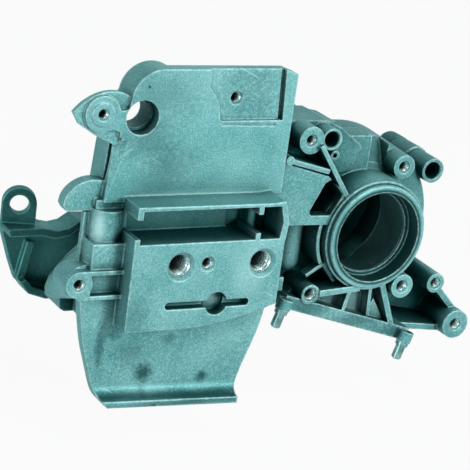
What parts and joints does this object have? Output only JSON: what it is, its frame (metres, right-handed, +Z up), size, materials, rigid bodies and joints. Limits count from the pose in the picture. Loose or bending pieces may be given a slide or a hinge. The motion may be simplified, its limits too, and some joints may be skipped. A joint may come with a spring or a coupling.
{
  "type": "chainsaw crankcase",
  "caption": "Die-cast engine crankcase with a round main-bearing housing, a guide-bar pad, a flat tank cover and a curved lower skirt.",
  "frame": {"origin": "crank axis at the face of the clutch-side seal housing", "axes": "+X from the guide-bar pad towards the crank and along the case's length, +Y into the case towards the flywheel side, +Z up"},
  "size_m": [0.1845, 0.082, 0.1229],
  "materials": {
    "cast_alloy": "as-cast, satin",
    "steel": "plain, satin",
    "gasket_paper": "matt fibre sheet"
  },
  "bodies": {
    "root": {"crankcase_clutch_side": "cast_alloy", "crankcase_flywheel_side": "cast_alloy", "case_gasket": "gasket_paper", "case_dowels": "steel", "case_screws": "steel", "seat_pins": "steel"}
  },
  "joints": []
}
